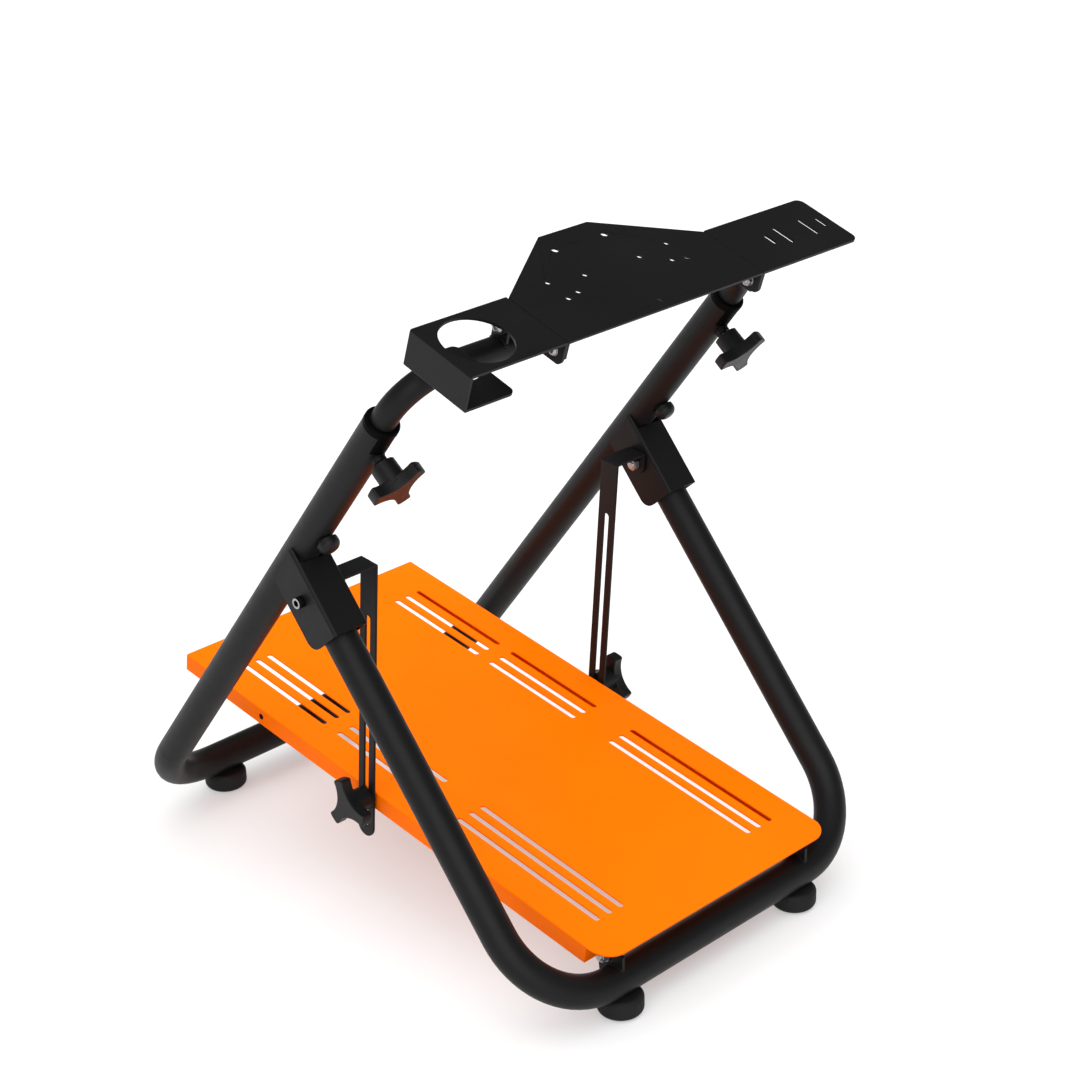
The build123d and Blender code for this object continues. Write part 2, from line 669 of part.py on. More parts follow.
hub_taper = degrees(atan2(hub_r[1] - hub_r[0], lobe_out - hub_out + hub_in))
for side, name in ((1, "right"), (-1, "left")):
    with BuildPart() as height_knob:
        with BuildSketch(rear_radial_plane(side * half_width, clamp_at, lobe_out)) as star:
            star_outline(knob_turn)
            fillet(star.vertices(), 2.5)
        extrude(amount=knob_t)
        ends = height_knob.faces().sort_by(Axis(rear_point(0, 0), (0, -cos(a), -sin(a))))
        fillet(ends[-1].edges() + ends[0].edges(), 1.5)
        with BuildSketch(rear_radial_plane(side * half_width, clamp_at, hub_out)):
            Circle(hub_r[0])
        extrude(amount=lobe_out - hub_out + hub_in, taper=-hub_taper)
        with BuildSketch(rear_radial_plane(side * half_width, clamp_at, hub_out - 1)):
            Circle(pin_r)
        extrude(amount=51 - hub_out, mode=Mode.SUBTRACT)
    save(height_knob, name + "_height_knob")

with BuildPart() as right_height_stud:
    with BuildSketch(rear_radial_plane(half_width, clamp_at, inner_r + 0.7)):
        Circle(pin_r)
    extrude(amount=50 - inner_r - 0.7)
save(right_height_stud, "right_height_stud")

with BuildPart() as left_height_stud:
    mirror(right_height_stud.part, about=Plane.YZ)
save(left_height_stud, "left_height_stud")


def strap_knob_plane(x, side, turn):
    """Plane across X at the strap stud, turned so that the lobes stand as set at rest."""
    c, s = cos(radians(turn)), sin(radians(turn))
    return Plane(origin=(x, stud.Y, stud.Z), x_dir=(0, c, s), z_dir=(side, 0, 0))


knob_face = strap_x + strap_t + 0.6
knob_hub = 18.0
hub_taper = degrees(atan2(hub_r[1] - hub_r[0], knob_hub + hub_in))
for side, turn, name in ((1, 100.0, "right"), (-1, 72.0, "left")):
    with BuildPart() as strap_knob:
        with BuildSketch(strap_knob_plane(side * (knob_face + knob_hub), side, turn)) as star:
            star_outline()
            fillet(star.vertices(), 2.5)
        extrude(amount=knob_t)
        ends = strap_knob.faces().sort_by(Axis((0, 0, 0), (side, 0, 0)))
        fillet(ends[-1].edges() + ends[0].edges(), 1.5)
        with BuildSketch(strap_knob_plane(side * knob_face, side, turn)):
            Circle(hub_r[0])
        extrude(amount=knob_hub + hub_in, taper=-hub_taper)
        with BuildSketch(strap_knob_plane(side * (knob_face - 1), side, turn)):
            Circle(pin_r)
        extrude(amount=18, mode=Mode.SUBTRACT)
    save(strap_knob, name + "_strap_knob")

    # the stud is necked where it passes the strap's slot
    with BuildPart() as strap_stud:
        with BuildSketch(strap_knob_plane(side * 170, side, turn)):
            Circle(pin_r)
        extrude(amount=knob_face + 17 - 170)
        with BuildSketch(strap_knob_plane(side * (plate_half + 0.7), side, turn)):
            Circle(pin_r + 2)
            Circle(1.6, mode=Mode.SUBTRACT)
        extrude(amount=knob_face - plate_half - 0.7, mode=Mode.SUBTRACT)
    save(strap_stud, name + "_strap_stud")

# ------------------------------------------------------------------ spring lock pins
with BuildPart() as right_lock_pin:
    with BuildSketch(rear_radial_plane(half_width, lock_at, inner_r + 0.7)):
        Circle(pin_r)
    extrude(amount=12)
    with BuildSketch(rear_radial_plane(half_width, lock_at, 20.4)):
        Circle(12.2)
    extrude(amount=12.5)
    cap = right_lock_pin.edges().filter_by(GeomType.CIRCLE).sort_by(Axis(rear_point(0, 0), (0, -cos(a), -sin(a))))
    fillet(cap[-1], 8.5)
save(right_lock_pin, "right_lock_pin")

with BuildPart() as left_lock_pin:
    mirror(right_lock_pin.part, about=Plane.YZ)
save(left_lock_pin, "left_lock_pin")

print("pivot", pivot, "stud", stud, "strap lean", round(strap_lean, 3))
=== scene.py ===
import bpy
import bmesh
import json
from math import sin, cos, tan, radians, pi, sqrt, asin, atan2
from mathutils import Vector, Matrix, noise


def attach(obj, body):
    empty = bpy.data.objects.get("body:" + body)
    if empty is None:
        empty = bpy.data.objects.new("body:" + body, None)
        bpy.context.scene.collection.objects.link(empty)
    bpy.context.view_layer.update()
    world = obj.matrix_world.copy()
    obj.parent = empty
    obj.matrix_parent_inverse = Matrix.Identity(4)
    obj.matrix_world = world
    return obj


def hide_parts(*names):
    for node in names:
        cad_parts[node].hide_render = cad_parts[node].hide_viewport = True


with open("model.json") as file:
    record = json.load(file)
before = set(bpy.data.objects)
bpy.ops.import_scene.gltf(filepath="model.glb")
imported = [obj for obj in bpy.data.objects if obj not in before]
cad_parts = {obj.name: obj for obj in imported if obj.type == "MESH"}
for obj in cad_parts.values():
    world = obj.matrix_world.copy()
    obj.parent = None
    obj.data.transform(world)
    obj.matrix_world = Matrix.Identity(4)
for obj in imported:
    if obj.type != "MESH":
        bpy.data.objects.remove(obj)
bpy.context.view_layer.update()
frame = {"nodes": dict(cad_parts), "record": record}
nodes = frame["nodes"]
scene = bpy.context.scene
scene.view_settings.view_transform = "Standard"
scene.view_settings.look = "None"

MM = 0.001
A, B = radians(37.7), radians(40.88)
G, T = radians(8.57), radians(17.6)
BAR_Z, REAR_Y, FRONT_Y, HALF = 41.3, 344.7, -344.7, 258.0
TILT = (-180.8, BAR_Z + 698.0)
HINGE = (-329.3, BAR_Z + 26.0)
PIVOT = (FRONT_Y + 508.8 * sin(B), BAR_Z + 508.8 * cos(B))
DECK_O = (TILT[0] - 5 * cos(T) - 37 * sin(T), TILT[1] - 5 * sin(T) + 37 * cos(T))
PLATE_FAR = (349.45, BAR_Z + 155.4)
PLATE_T = 2.0


def rear(x, s, out=0.0):
    return Vector((x, REAR_Y - s * sin(A) - out * cos(A), BAR_Z + s * cos(A) - out * sin(A))) * MM


def front(x, s, out=0.0):
    return Vector((x, FRONT_Y + s * sin(B) - out * cos(B), BAR_Z + s * cos(B) + out * sin(B))) * MM


def deck(x, v, h=0.0):
    return Vector((x, DECK_O[0] - v * cos(T) - h * sin(T), DECK_O[1] - v * sin(T) + h * cos(T))) * MM


def pedal(x, v, h=0.0):
    return Vector((x, PLATE_FAR[0] - v * cos(G) - h * sin(G), PLATE_FAR[1] - v * sin(G) + h * cos(G))) * MM


REAR_UP = Vector((0, -sin(A), cos(A)))
REAR_OUT = Vector((0, -cos(A), -sin(A)))
FRONT_UP = Vector((0, sin(B), cos(B)))
STUD = pedal(0, 341.5, -9.5)
SIDES = (("left", -1), ("right", 1))


# ------------------------------------------------------------------ camera
yaw, pitch, roll, focal = radians(43.97), radians(24.76), radians(1.13), 2433.46
fw = Vector((sin(yaw) * cos(pitch), cos(yaw) * cos(pitch), -sin(pitch)))
right = Vector((cos(yaw), -sin(yaw), 0))
down = fw.cross(right)
r2 = cos(roll) * right + sin(roll) * down
d2 = -sin(roll) * right + cos(roll) * down
cam_data = bpy.data.cameras.new("camera")
cam_data.sensor_fit = "HORIZONTAL"
cam_data.sensor_width = 36.0
cam_data.lens = 36.0 * focal / 1080.0
cam_data.clip_end = 200.0
cam = bpy.data.objects.new("camera", cam_data)
scene.collection.objects.link(cam)
cam.matrix_world = Matrix((
    (r2.x, -d2.x, -fw.x, -1.70446),
    (r2.y, -d2.y, -fw.y, -1.85213),
    (r2.z, -d2.z, -fw.z, 1.51751 + BAR_Z * MM),
    (0, 0, 0, 1),
))
scene.camera = cam


# ------------------------------------------------------------------ materials
def tree(name):
    m = bpy.data.materials.new(name)
    m.use_nodes = True
    nt = m.node_tree
    return m, nt, nt.nodes["Principled BSDF"]


def object_coords(nt):
    return nt.nodes.new("ShaderNodeTexCoord").outputs["Object"]


def noise_tex(nt, coords, scale, detail=2.0, rough=0.5):
    n = nt.nodes.new("ShaderNodeTexNoise")
    n.inputs["Scale"].default_value = scale
    n.inputs["Detail"].default_value = detail
    n.inputs["Roughness"].default_value = rough
    nt.links.new(coords, n.inputs["Vector"])
    return n.outputs["Fac"]


def ramp(nt, fac, stops):
    r = nt.nodes.new("ShaderNodeValToRGB")
    el = r.color_ramp.elements
    while len(el) < len(stops):
        el.new(0.5)
    for e, (pos, col) in zip(el, stops):
        e.position = pos
        e.color = (*col, 1.0) if len(col) == 3 else col
    nt.links.new(fac, r.inputs["Fac"])
    return r.outputs["Color"]


def to_range(nt, fac, lo, hi, from_lo=0.3, from_hi=0.7):
    n = nt.nodes.new("ShaderNodeMapRange")
    n.inputs["From Min"].default_value = from_lo
    n.inputs["From Max"].default_value = from_hi
    n.inputs["To Min"].default_value = lo
    n.inputs["To Max"].default_value = hi
    nt.links.new(fac, n.inputs["Value"])
    return n.outputs["Result"]


def bump(nt, heights, distance, strength=1.0):
    """Bump from several height sources, chained."""
    last = None
    for h, d in zip(heights, distance):
        n = nt.nodes.new("ShaderNodeBump")
        n.inputs["Strength"].default_value = strength
        n.inputs["Distance"].default_value = d
        nt.links.new(h, n.inputs["Height"])
        if last is not None:
            nt.links.new(last, n.inputs["Normal"])
        last = n.outputs["Normal"]
    return last


def powder(name, dark, light, rough, spec, grain=1500.0, grain_h=0.00003, peel_h=0.00005):
    """Powder coat: orange peel, a fine grain and slow changes of shade and gloss."""
    m, nt, b = tree(name)
    co = object_coords(nt)
    slow = noise_tex(nt, co, 9.0, 3.0)
    nt.links.new(ramp(nt, slow, [(0.32, dark), (0.68, light)]), b.inputs["Base Color"])
    mid = noise_tex(nt, co, 60.0, 4.0, 0.6)
    nt.links.new(to_range(nt, mid, rough[0], rough[1]), b.inputs["Roughness"])
    peel = noise_tex(nt, co, 330.0, 1.0)
    fine = noise_tex(nt, co, grain, 2.0)
    nt.links.new(bump(nt, [peel, fine], [peel_h, grain_h]), b.inputs["Normal"])
    b.inputs["Specular IOR Level"].default_value = spec
    return m


def moulded(name, dark, light, rough, spec, grain=2200.0, grain_h=0.00006):
    """Moulded plastic: spark-eroded grain, a little mottling."""
    m, nt, b = tree(name)
    co = object_coords(nt)
    slow = noise_tex(nt, co, 40.0, 3.0)
    nt.links.new(ramp(nt, slow, [(0.3, dark), (0.7, light)]), b.inputs["Base Color"])
    v = nt.nodes.new("ShaderNodeTexVoronoi")
    v.inputs["Scale"].default_value = grain
    nt.links.new(co, v.inputs["Vector"])
    nt.links.new(to_range(nt, slow, rough[0], rough[1]), b.inputs["Roughness"])
    nt.links.new(bump(nt, [v.outputs["Distance"]], [grain_h]), b.inputs["Normal"])
    b.inputs["Specular IOR Level"].default_value = spec
    return m


def plated(name, dark, light, rough):
    """Zinc plate: faint blotches and a fine grain."""
    m, nt, b = tree(name)
    co = object_coords(nt)
    blot = noise_tex(nt, co, 240.0, 5.0, 0.65)
    nt.links.new(ramp(nt, blot, [(0.3, dark), (0.7, light)]), b.inputs["Base Color"])
    nt.links.new(to_range(nt, blot, rough[0], rough[1]), b.inputs["Roughness"])
    fine = noise_tex(nt, co, 3000.0, 2.0)
    nt.links.new(bump(nt, [fine], [0.00002]), b.inputs["Normal"])
    b.inputs["Metallic"].default_value = 1.0
    return m


def rubbery(name, dark, light):
    m, nt, b = tree(name)
    co = object_coords(nt)
    dust = noise_tex(nt, co, 90.0, 6.0, 0.7)
    nt.links.new(ramp(nt, dust, [(0.35, dark), (0.72, light)]), b.inputs["Base Color"])
    nt.links.new(to_range(nt, dust, 0.62, 0.85), b.inputs["Roughness"])
    fine = noise_tex(nt, co, 1200.0, 3.0)
    nt.links.new(bump(nt, [fine], [0.0001]), b.inputs["Normal"])
    b.inputs["Specular IOR Level"].default_value = 0.25
    return m


M = {
    "frame_black": powder("powder_black", (0.0052, 0.0052, 0.0054), (0.0064, 0.0064, 0.0066), (0.42, 0.50), 0.16, grain_h=0.000016),
    "deck_black": powder("powder_black_plate", (0.0053, 0.0053, 0.0055), (0.0065, 0.0065, 0.0067), (0.32, 0.40), 0.16, grain_h=0.000016),
    "pedal_orange": powder("powder_orange", (0.87, 0.134, 0.0), (0.89, 0.142, 0.0), (0.32, 0.38), 0.03),
    "moulded_black": moulded("moulded_black", (0.0050, 0.0050, 0.0052), (0.0066, 0.0066, 0.0068), (0.36, 0.46), 0.20),
    "zinc": plated("zinc_plate", (0.34, 0.34, 0.35), (0.46, 0.46, 0.46), (0.34, 0.48)),
    "rubber_black": rubbery("rubber", (0.0050, 0.0050, 0.0050), (0.0085, 0.0085, 0.0083)),
}
# collar bushes: black plastic, made near-black and matt so that the tongue filling the tube's slit reads as the slit's
# shadow, partly painted shade
M["collar_black_slit_shade"] = moulded("collar_black_slit_shade", (0.0012, 0.0012, 0.0013), (0.0020, 0.0020, 0.0021), (0.50, 0.62), 0.03)
# dark matt finish for the plugs in the flange holes: painted shade of the hole's inside
M["hole_shade_plug_black"] = moulded("hole_shade_plug_black", (0.0035, 0.0034, 0.0034), (0.0052, 0.005, 0.005), (0.6, 0.72), 0.03)
# near-black finish for the pivot screws' head sides and sockets: painted shade and painted dark reflection on zinc
M["oxide"] = moulded("oxide_black", (0.0022, 0.0022, 0.0023), (0.0040, 0.0040, 0.0041), (0.42, 0.55), 0.10, 3000.0, 0.00002)
M["nylon"] = moulded("nylon_ring", (0.30, 0.32, 0.35), (0.36, 0.38, 0.41), (0.4, 0.5), 0.4)
SLOT_OF = {p["node"]: p["material_slot"] for p in frame["record"]["subparts"]}

# the collars take the near-black finish that also paints the shade of the tube's slit
for name, o in nodes.items():
    me = o.data
    me.materials.clear()
    me.materials.append(M["collar_black_slit_shade"] if name.endswith("_tube_collar") else M[SLOT_OF[name]])
    for p in me.polygons:
        p.material_index = 0
        p.use_smooth = True


def soften(names, width, segments=2, angle=38.0):
    """Breaks the sharp edges of a CAD node for the light to catch."""
    for n in names:
        o = nodes[n]
        if "custom_normal" in o.data.attributes:
            o.data.attributes.remove(o.data.attributes["custom_normal"])
        w = o.modifiers.new("weld", "WELD")
        w.merge_threshold = 2e-6
        b = o.modifiers.new("edge", "BEVEL")
        b.width = width * MM
        b.segments = segments
        b.limit_method = "ANGLE"
        b.angle_limit = radians(angle)
        b.miter_outer = "MITER_ARC"
        b.use_clamp_overlap = True
        n2 = o.modifiers.new("normals", "WEIGHTED_NORMAL")
        n2.mode = "FACE_AREA"
        n2.weight = 50
        n2.keep_sharp = False


# ------------------------------------------------------------------ mesh helpers
def axes(origin, axis, hint=Vector((1, 0, 0))):
    z = Vector(axis).normalized()
    if abs(z.dot(hint)) > 0.95:
        hint = Vector((0, 0, 1))
    x = (hint - hint.dot(z) * z).normalized()
    y = z.cross(x)
    return Matrix((
        (x.x, y.x, z.x, origin.x), (x.y, y.y, z.y, origin.y), (x.z, y.z, z.z, origin.z), (0, 0, 0, 1),
    ))


def up(frame_m, h):
    """The same frame, moved h mm along its Z."""
    return frame_m @ Matrix.Translation((0, 0, h * MM))


def piece(name, verts, faces, slot, body, mat=None, angle=35.0, replaces=()):
    me = bpy.data.meshes.new(name)
    me.from_pydata([tuple(v) for v in verts], [], faces)
    me.validate()
    bm = bmesh.new()
    bm.from_mesh(me)
    bmesh.ops.recalc_face_normals(bm, faces=bm.faces)
    bm.to_mesh(me)
    bm.free()
    me.materials.append(mat or M[slot])
    me.shade_smooth()
    me.set_sharp_from_angle(angle=radians(angle))
    o = bpy.data.objects.new(name, me)
    scene.collection.objects.link(o)
    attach(o, body)
    if replaces:
        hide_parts(*replaces)
    return o


def two_tone(o, frame_m, where, mat):
    """Gives the faces whose (radius, height) in mm in the frame pass the test a second finish."""
    inv = frame_m.inverted()
    o.data.materials.append(mat)
    for p in o.data.polygons:
        c = inv @ p.center / MM
        if where(sqrt(c.x * c.x + c.y * c.y), c.z):
            p.material_index = 1


def lathe_data(profile, frame_m, segs=48):
    """Turns (radius, height) pairs in mm round the frame's Z."""
    verts, faces, rings = [], [], []
    for r, z in profile:
        if r < 1e-6:
            rings.append([len(verts)])
            verts.append(frame_m @ Vector((0, 0, z * MM)))
        else:
            ring = []
            for k in range(segs):
                a = 2 * pi * k / segs
                ring.append(len(verts))
                verts.append(frame_m @ Vector((r * cos(a) * MM, r * sin(a) * MM, z * MM)))
            rings.append(ring)
    for p, q in zip(rings, rings[1:]):
        for k in range(segs):
            j = (k + 1) % segs
            if len(p) == 1:
                faces.append((p[0], q[k], q[j])[::-1])
            elif len(q) == 1:
                faces.append((p[k], p[j], q[0]))
            else:
                faces.append((p[k], p[j], q[j], q[k]))
    return verts, faces


def joined(*datas):
    verts, faces = [], []
    for v, f in datas:
        n = len(verts)
        verts += v
        faces += [tuple(i + n for i in q) for q in f]
    return verts, faces


def ring_data(rings_fn, frame_m, segs, tip=None):
    """Skin over rings given as functions of the angle that return (radius, height); closed at both ends."""
    verts, faces, rings = [], [], []
    for fn in rings_fn:
        ids = []
        for k in range(segs):
            a = 2 * pi * k / segs
            r, z = fn(a, k)
            ids.append(len(verts))
            verts.append(frame_m @ Vector((r * cos(a) * MM, r * sin(a) * MM, z * MM)))
        rings.append(ids)
    for p, q in zip(rings, rings[1:]):
        for k in range(segs):
            j = (k + 1) % segs
            faces.append((p[k], p[j], q[j], q[k]))
    faces.append(tuple(rings[0][::-1]))
    if tip is None:
        faces.append(tuple(rings[-1]))
    else:
        c = len(verts)
        verts.append(frame_m @ Vector((0, 0, tip * MM)))
        for k in range(segs):
            faces.append((rings[-1][k], rings[-1][(k + 1) % segs], c))
    return verts, faces


def hexagon(af):
    return lambda a: af / 2 / cos((a % (pi / 3)) - pi / 6)


def socket_data(profile, af, depth, frame_m, segs=96, knurl=()):
    """Screw head from (radius, height) pairs, with a hexagon socket in its end; rings in knurl carry a straight knurl."""
    hx = hexagon(af)
    top = profile[-1][1]
    fns = []
    for i, (r, z) in enumerate(profile):
        cut = 0.22 if i in knurl else 0.0
        fns.append(lambda a, k, r=r, z=z, cut=cut: (r - (cut if k % 4 in (2, 3) else 0.0), z))
    fns.append(lambda a, k: (hx(a) + 0.3, top))
    fns.append(lambda a, k: (hx(a), top - 0.3))
    fns.append(lambda a, k: (hx(a), top - depth))
    return ring_data(fns, frame_m, segs, tip=top - depth - af * 0.2)


def hex_data(af, height, frame_m, hole=0.0, base_chamfer=True, segs=72):
    """Hexagon nut or head with 30 degree chamfers, standing on the frame's XY plane."""
    r_in = af / 2 * 0.97
    verts, faces, rings = [], [], []

    def ring(fn):
        ids = []
        for k in range(segs):
            a = 2 * pi * k / segs
            big = af / 2 / cos((a % (pi / 3)) - pi / 6)
            r, z = fn(big)
            ids.append(len(verts))
            verts.append(frame_m @ Vector((r * cos(a) * MM, r * sin(a) * MM, z * MM)))
        rings.append(ids)

    k30 = tan(radians(30))
    if hole > 0:
        ring(lambda big: (hole, 0.0))
    ring(lambda big: (r_in, 0.0))
    ring(lambda big: (big, (big - r_in) * k30 if base_chamfer else 0.0))
    ring(lambda big: (big, height - (big - r_in) * k30))
    ring(lambda big: (r_in, height))
    if hole > 0:
        ring(lambda big: (hole + 0.5, height))
        ring(lambda big: (hole, height - 0.5))
        rings.append(rings[0])
    for p, q in zip(rings, rings[1:]):
        for k in range(segs):
            j = (k + 1) % segs
            faces.append((p[k], p[j], q[j], q[k]))
    if hole <= 0:
        faces.append(tuple(rings[0][::-1]))
        faces.append(tuple(rings[-1]))
    return verts, faces


def thread_data(r, pitch, length, frame_m, depth=None, segs=40, steps=5):
    """Screw thread as one helical surface with a chamfered end."""
    depth = depth or 0.6 * pitch
    rows = int(length / pitch * steps) + 1
    verts, faces = [], []
    for i in range(rows + 1):
        z = length * i / rows
        for k in range(segs):
            ph = (z / pitch - k / segs) % 1.0
            tri = abs(2 * ph - 1)
            rr = r - depth * (1 - tri)
            rr = min(rr, r - depth + (length - z) * 1.0)
            rr = max(rr, r - 1.4 * depth)
            a = 2 * pi * k / segs
            verts.append(frame_m @ Vector((rr * cos(a) * MM, rr * sin(a) * MM, z * MM)))
    for i in range(rows):
        for k in range(segs):
            j = (k + 1) % segs
            faces.append((i * segs + k, i * segs + j, (i + 1) * segs + j, (i + 1) * segs + k))
    faces.append(tuple(range(segs))[::-1])
    faces.append(tuple(rows * segs + k for k in range(segs)))
    return verts, faces


def washer_data(inner, outer, thick, frame_m, segs=56):
    c = min(0.25, thick * 0.25)
    return lathe_data([(inner, 0), (outer - c, 0), (outer, c), (outer, thick - c), (outer - c, thick), (inner, thick), (inner, 0)], frame_m, segs)


def bead(name, points, radius, slot, body, closed=False, ripple=2.6, seed=0.0, ring=10):
    """Weld bead: a run of overlapping ripples along a line of points (metres), its size a little uneven."""
    pts = [Vector(p) for p in points]
    # even steps along the line
    seg = list(zip(pts, pts[1:] + pts[:1])) if closed else list(zip(pts, pts[1:]))
    total = sum((q - p).length for p, q in seg)
    step = ripple * MM / 6
    n = max(8, int(total / step))
    line, acc, i, left = [], 0.0, 0, 0.0
    for k in range(n if closed else n + 1):
        want = total * k / n
        while i < len(seg) - 1 and acc + (seg[i][1] - seg[i][0]).length < want:
            acc += (seg[i][1] - seg[i][0]).length
            i += 1
        p, q = seg[i]
        f = (want - acc) / max((q - p).length, 1e-9)
        line.append(p.lerp(q, min(max(f, 0), 1)))
    m = len(line)
    verts, faces = [], []
    for k, p in enumerate(line):
        t = (line[(k + 1) % m] - line[k - 1]) if closed else (line[min(k + 1, m - 1)] - line[max(k - 1, 0)])
        t.normalize()
        side_v = Vector((0.21, -0.53, 0.82))
        x = (side_v - side_v.dot(t) * t).normalized()
        y = t.cross(x)
        s = total * k / n / MM
        phase = (s / ripple) % 1.0
        wob = noise.noise(Vector((s * 0.12, seed, 0.3)))
        r = radius * MM * (0.90 + 0.13 * sqrt(1 - (2 * phase - 1) ** 2) + 0.10 * wob)
        if not closed:
            e = min(k, m - 1 - k) * total / n / MM
            r *= min(1.0, 0.25 + 0.75 * sqrt(min(e / (radius * 1.2), 1.0)))
        for j in range(ring):
            a = 2 * pi * j / ring
            verts.append(p + (x * cos(a) + y * sin(a)) * r)
    for k in range(m if closed else m - 1):
        k2 = (k + 1) % m
        for j in range(ring):
            j2 = (j + 1) % ring
            faces.append((k * ring + j, k * ring + j2, k2 * ring + j2, k2 * ring + j))
    if not closed:
        faces.append(tuple(range(ring))[::-1])
        faces.append(tuple((m - 1) * ring + j for j in range(ring)))
    return piece(name, verts, faces, slot, body, angle=70.0)


# ------------------------------------------------------------------ edges of the sheet parts
soften(["pedal_plate"], 0.35, 2)
soften(["wheel_plate", "cup_holder_plate", "shifter_plate"], 0.4, 2)
soften(["left_strap", "right_strap", "left_pivot_bracket", "right_pivot_bracket"], 0.4, 2)
soften(["left_plate_tab", "right_plate_tab", "left_hinge_tab", "right_hinge_tab", "left_plate_lug", "right_plate_lug"], 0.4, 2)

# ------------------------------------------------------------------ screws of the two wings
for side, sx in SIDES:
    for i, v in enumerate((10.8, 73.6)):
        head = axes(deck(sx * 147.0, v, -16.0), Vector((sx, 0, 0)), Vector((0, 1, 0)))
        dome = [(3.0, 0.8), (5.5, 0.8), (5.5, 1.1), (5.3, 2.0), (4.7, 2.9), (3.7, 3.6), (2.9, 3.85)]
        piece("wing_screw_%s_%d" % (side, i), *joined(
            washer_data(2.9, 6.0, 0.8, head), socket_data(dome, 4.0, 2.2, head)), "zinc", "wheel_deck")
        nut = axes(deck(sx * 141.0, v, -16.0), Vector((-sx, 0, 0)), Vector((0, 1, 0)))
        piece("wing_nut_%s_%d" % (side, i), *joined(
            washer_data(3.2, 6.0, 0.8, nut),
            hex_data(10.0, 5.0, up(nut, 0.8), 2.9),
            thread_data(3.0, 1.0, 8.0, nut)), "zinc", "wheel_deck")

# ------------------------------------------------------------------ bolts of the pivots and hinges
for side, sx in SIDES:
    out_x, in_x = Vector((sx, 0, 0)), Vector((-sx, 0, 0))
    # folding pivot: knurled socket screw outside the bracket, nut inside the strap's tab
    head = axes(Vector((sx * 281.0, *PIVOT)) * MM, out_x, Vector((0, 0.35, 1)))
    nut = axes(Vector((sx * 231.0, *PIVOT)) * MM, in_x, Vector((0, 0.2, 1)))
    screw = piece("pivot_screw_%s" % side, *joined(
        socket_data([(4.0, 0.0), (6.2, 0.0), (6.5, 0.3), (6.5, 7.2), (5.9, 8.0), (4.35, 8.0)], 6.6, 4.4, head, 192, (2, 3)),
        lathe_data([(0, 0.4), (4.0, 0.4), (4.0, -50.0), (0, -50.0)], head),
        hex_data(13.0, 6.6, nut, 3.7),
        thread_data(4.0, 1.25, 8.0, nut)), "zinc", "main_frame", replaces=[side + "_pivot_bolt"])
    # zinc screw: its head's sides and hex socket get a near-black finish, painted shade and painted dark reflection,
    # and the end face stays bright zinc
    two_tone(screw, head, lambda r, z: 0.0 < z < 7.85 and (r > 5.5 or r < 4.0), M["oxide"])
    # tilt bolt of the wheel plate: button head outside, lock nut inside
    head = axes(Vector((sx * 144.3, *TILT)) * MM, out_x, Vector((0, 0.5, 1)))
    nut = axes(Vector((sx * 136.8, *TILT)) * MM, in_x, Vector((0, 0.4, 1)))
    dome = [(4.0, 0.0), (6.8, 0.0), (6.8, 0.5), (6.5, 1.8), (5.7, 3.1), (4.6, 4.1), (3.6, 4.6)]
    piece("tilt_screw_%s" % side, *joined(
        socket_data(dome, 5.0, 2.6, head),
        lathe_data([(0, 0.4), (4.0, 0.4), (4.0, -7.6), (0, -7.6)], head),
        hex_data(13.0, 5.2, nut, 3.7),
        thread_data(4.0, 1.25, 8.6, nut)), "zinc", "top_bar", replaces=[side + "_tilt_bolt"])
    ring = [(4.1, 5.0), (5.9, 5.0), (5.9, 5.6), (5.5, 6.6), (4.9, 7.0), (4.1, 7.0), (4.1, 5.0)]
    piece("tilt_nut_ring_%s" % side, *lathe_data(ring, nut), "zinc", "top_bar", mat=M["nylon"])
    # pedal plate hinge: hexagon head inside, lock nut outside
    head = axes(Vector((sx * 143.0, *HINGE)) * MM, in_x, Vector((0, 0.3, 1)))
    nut = axes(Vector((sx * 152.0, *HINGE)) * MM, out_x, Vector((0, 0.15, 1)))
    piece("hinge_screw_%s" % side, *joined(
        hex_data(13.0, 5.2, head, base_chamfer=False),
        lathe_data([(0, -0.4), (4.0, -0.4), (4.0, 9.4), (0, 9.4)], up(head, -9.0)),
        washer_data(4.1, 8.0, 1.0, nut),
        hex_data(13.0, 5.2, up(nut, 1.0), 3.7),
        lathe_data([(4.1, 6.0), (5.9, 6.0), (5.9, 6.7), (5.5, 7.6), (4.9, 7.9), (4.1, 7.9), (4.1, 6.0)], nut),
        thread_data(4.0, 1.25, 9.6, nut)), "zinc", "front_leg", replaces=[side + "_hinge_bolt"])

# ------------------------------------------------------------------ studs of the knobs, their nuts and washers
for side, sx in SIDES:
    foot = axes(rear(sx * HALF, 738.0, 14.7), REAR_OUT)
    piece("clamp_stud_%s" % side, *thread_data(4.0, 1.25, 33.0, foot), "zinc", "knob_height_" + side,
          replaces=[side + "_height_stud"])

    inner = axes(Vector((sx * 181.0 * MM, STUD.y, STUD.z)), Vector((-sx, 0, 0)), Vector((0, 1, 0)))
    piece("stud_nut_%s" % side, *joined(
        washer_data(4.2, 8.0, 1.2, inner),
        hex_data(13.0, 6.5, up(inner, 1.2), 4.06)), "zinc", "pedal_deck")
    outer = axes(Vector((sx * 183.0 * MM, STUD.y, STUD.z)), Vector((sx, 0, 0)), Vector((0, 1, 0)))
    piece("strap_washer_%s" % side, *washer_data(4.3, 8.0, 2.0, outer), "zinc", "pedal_deck")
    tail = axes(Vector((sx * 183.6 * MM, STUD.y, STUD.z)), Vector((-sx, 0, 0)), Vector((0, 1, 0)))
    piece("strap_stud_%s" % side, *joined(
        thread_data(4.0, 1.25, 13.4, tail),
        lathe_data([(0, 0.3), (1.6, 0.3), (1.6, -5.8), (0, -5.8)], tail),
        lathe_data([(0, -5.6), (3.95, -5.6), (3.95, -20.0), (0, -20.0)], tail)), "zinc", "knob_strap_" + side,
          replaces=[side + "_strap_stud"])
